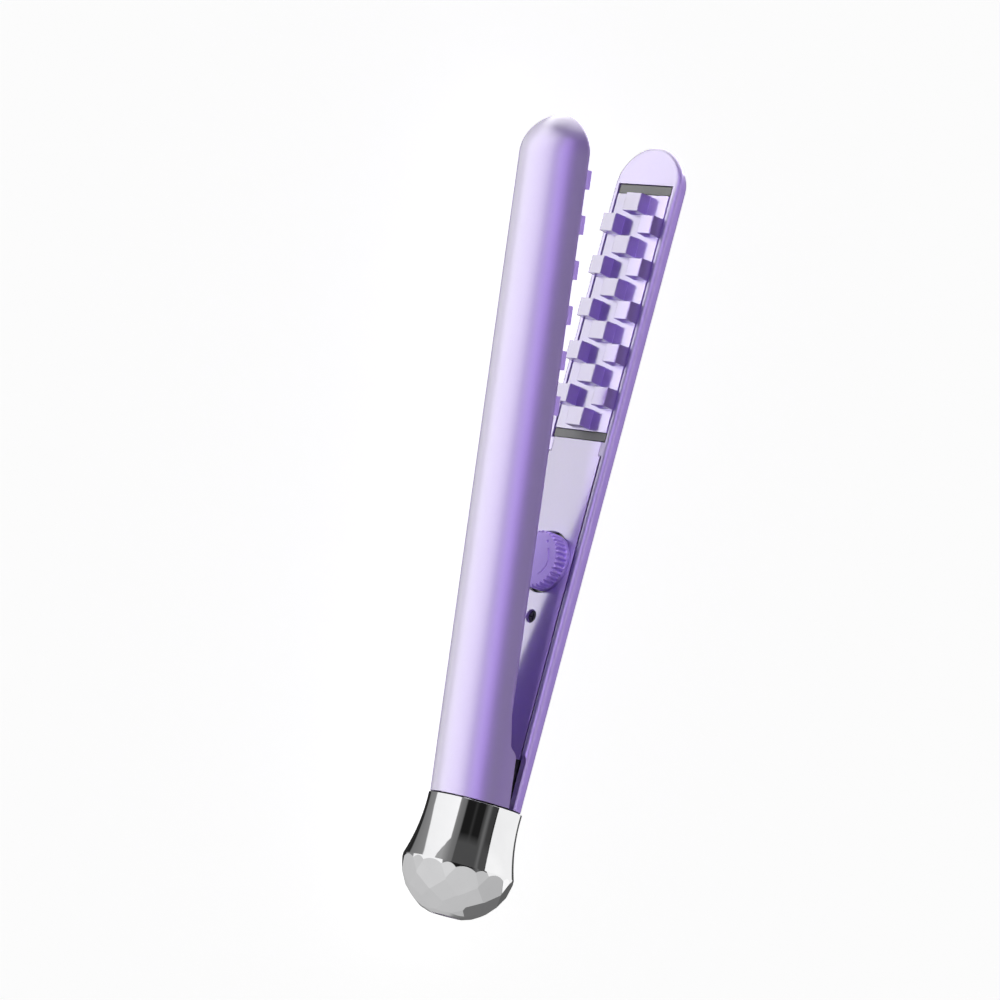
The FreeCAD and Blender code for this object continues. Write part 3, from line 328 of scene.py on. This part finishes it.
# studio: long strip boxes that run beside the tool, dark between them, and a
# pale end wall past the foot. The angle is measured about the tool's length,
# 0 at the left horizon, 90 overhead, 180 at the right horizon.
world = bpy.data.worlds.new("studio")
scene.world = world
world.use_nodes = True
nt = world.node_tree
bg = nt.nodes["Background"]
tc = nt.nodes.new("ShaderNodeTexCoord")
sp = nt.nodes.new("ShaderNodeSeparateXYZ")
nt.links.new(tc.outputs["Generated"], sp.inputs[0])
ang = math_node(nt, "ARCTAN2", sp.outputs[2], math_node(nt, "MULTIPLY", sp.outputs[0], -1.0))


def grey(v):
    return (v, v, v * 1.005)


def where(deg):
    return (deg + 180.0) / 360.0


box_left = [(-180, 0.03), (-164, 0.03), (-161, 0.10), (-140, 0.05), (-98, 0.015), (-94, 0.20), (-64, 0.26),
            (-61.5, 0.98), (10, 1.05), (180, 1.05)]
bands = [(-180, 0.40), (-60, 0.40), (0, 0.36), (12, 0.24), (17, 0.19), (26, 0.16), (29, 0.012), (46, 0.012),
         (52, 0.035), (57, 0.012), (72, 0.012), (79, 0.09), (85, 0.15), (92, 0.05), (103, 0.045), (104.8, 0.012),
         (180, 0.03)]
deg = math.radians


def turn(src):
    return maprange(nt, src, -math.pi, math.pi, 0.0, 1.0)


# the left box is cut at a slant: its near end starts higher up and its top edge falls away past the tips
slant = maprange(nt, sp.outputs[1], 0.10, 0.46, 0.0, deg(19.0))
lean = maprange(nt, sp.outputs[1], 0.40, 0.64, 0.0, deg(40.0))
left = ramp(nt, turn(math_node(nt, "SUBTRACT", ang, slant)), [(where(d), grey(v)) for d, v in box_left])
rest = ramp(nt, turn(ang), [(where(d), grey(v)) for d, v in bands])
over = maprange(nt, math_node(nt, "ADD", ang, lean), deg(10.5), deg(12.0), 0.0, 1.0)
low = maprange(nt, sp.outputs[1], 0.33, 0.43, 0.0, 1.0)
rest = mix(nt, low, rest, mix(nt, 1.0, rest, grey(0.075), "LIGHTEN"))
col = mix(nt, over, left, rest)
# past the foot: a pale wall, dark to the right of it
wall = math_node(nt, "MULTIPLY", math_node(nt, "MAXIMUM", sp.outputs[2], 0.0), 0.25)
wall = math_node(nt, "SUBTRACT", sp.outputs[0], wall)
wall = ramp(nt, maprange(nt, wall, -1.1, 1.1, 0.0, 1.0),
            [((v + 1.1) / 2.2, grey(g)) for v, g in ((-1.1, 0.78), (-0.70, 0.64), (0.0, 0.58), (0.40, 0.56),
                                                     (0.57, 0.50), (0.62, 0.24), (0.72, 0.15), (1.0, 0.18))])
end = maprange(nt, sp.outputs[1], -0.02, -0.10, 0.0, 1.0)
col = mix(nt, end, col, wall)
col = mix(nt, maprange(nt, sp.outputs[1], 0.80, 0.86, 0.0, 1.0), col, grey(0.60))
lp = nt.nodes.new("ShaderNodeLightPath")
col = mix(nt, lp.outputs["Is Camera Ray"], col, grey(0.93))
nt.links.new(col, bg.inputs["Color"])
bg.inputs["Strength"].default_value = 1.0
world.cycles_visibility.diffuse = False


def area(name, loc, target, along, across, power, color=(1, 1, 1), glossy=False):
    ld = bpy.data.lights.new(name, "AREA")
    ld.shape = "RECTANGLE"
    ld.size, ld.size_y = along, across
    ld.energy = power
    ld.color = color
    o = bpy.data.objects.new(name, ld)
    scene.collection.objects.link(o)
    o.location = loc
    d = Vector(target) - Vector(loc)
    o.rotation_euler = d.to_track_quat("-Z", "Y").to_euler()
    o.visible_camera = False
    o.visible_glossy = glossy
    return o


def from_left(deg, dist):
    a = math.radians(deg)
    return (C.x - dist * math.cos(a), C.y, C.z + dist * math.sin(a))


def group(name, members):
    c = bpy.data.collections.new(name)
    for ob in members:
        c.objects.link(ob)
    return c


KEY, RIGHT, UNDER, BOX = 3.7, 5.4, 0.3, 6.8
C = Vector((-0.01, 0.0, 0.014))
plated = group("plated", [N["chrome_base"]])
painted = group("painted", [ob for ob in N.values() if ob.data.materials[0] not in (M["chrome"], M["screw"])])
inner = group("inner", [ob for nm, ob in N.items() if "plate" in nm or "cover" in nm or "frame" in nm or "dial" in nm])
inner_a = group("inner_a", [ob for ob in inner.objects if not ob.name.startswith("arm_b")])
inner_b = group("inner_b", [ob for ob in inner.objects if ob.name.startswith("arm_b")])
outer = group("outer", [ob for ob in N.values() if ob.name not in inner_a.objects])
arm_a = group("arm_a", [N["arm_a_shell"]])
area("key", from_left(78, 1.1), C, 1.2, 0.5, KEY).light_linking.receiver_collection = outer
area("inner_key", from_left(78, 1.1), C, 1.2, 0.5, 2.0).light_linking.receiver_collection = inner_a
area("right", from_left(125, 1.1), C, 1.2, 0.5, RIGHT).light_linking.receiver_collection = outer
area("under", (C.x, C.y, -1.2), C, 2.0, 2.0, UNDER)
o = area("inner_fill", from_left(10, 1.2), C, 1.0, 0.4, 15.0)
o.light_linking.receiver_collection = inner_a
o.light_linking.blocker_collection = inner_a
o = area("dial_fill", C + 1.2 * Vector((-0.62, 0.60, 0.50)), C, 0.3, 0.3, 6.5)
o.light_linking.receiver_collection = group("dial", [N["temperature_dial"]])
o.light_linking.blocker_collection = group("dial_shade", [N["temperature_dial"]])
area("inner_b_fill", from_left(97, 1.1), C, 1.2, 0.5, 6.0).light_linking.receiver_collection = inner_b
area("arm_a_fill", from_left(112, 1.2), C, 1.0, 0.4, 7.6).light_linking.receiver_collection = arm_a


def box(name, deg_mid, half, radiance, seen_by, long=3.2, past=0.0, color=(1, 1, 1)):
    """Long soft box beside the tool that only shows as a reflection."""
    across = 2.0 * 1.2 * math.tan(math.radians(half))
    x, y, z = from_left(deg_mid, 1.2)
    o = area(name, (x, y + past, z), (C.x, C.y + past, C.z), long, across, radiance * math.pi * across * long,
             color, glossy=True)
    o.visible_diffuse = False
    o.light_linking.receiver_collection = seen_by
    return o


box("box_high", -0.5, 12.5, BOX * 0.89, painted)
box("box_soft", 24.0, 12.0, BOX * 0.28, painted)
box("box_low", -38.0, 26.0, BOX, painted)
box("box_under", -81.0, 17.5, BOX * 0.42, painted)
box("box_edge", -117.0, 18.5, BOX * 0.10, painted)
box("gel", 39.0, 13.0, 8.6, painted, color=(0.37, 0.25, 0.61))
box("plated_right", 151.5, 44.5, 0.95, plated, past=1.4)
o = area("box_tip", C + 1.5 * Vector((0.36, 0.86, -0.26)), C, 2.3, 1.8, BOX * 0.60 * 2.3 * 1.8 * math.pi, glossy=True)
o.visible_diffuse = False
o.light_linking.receiver_collection = painted
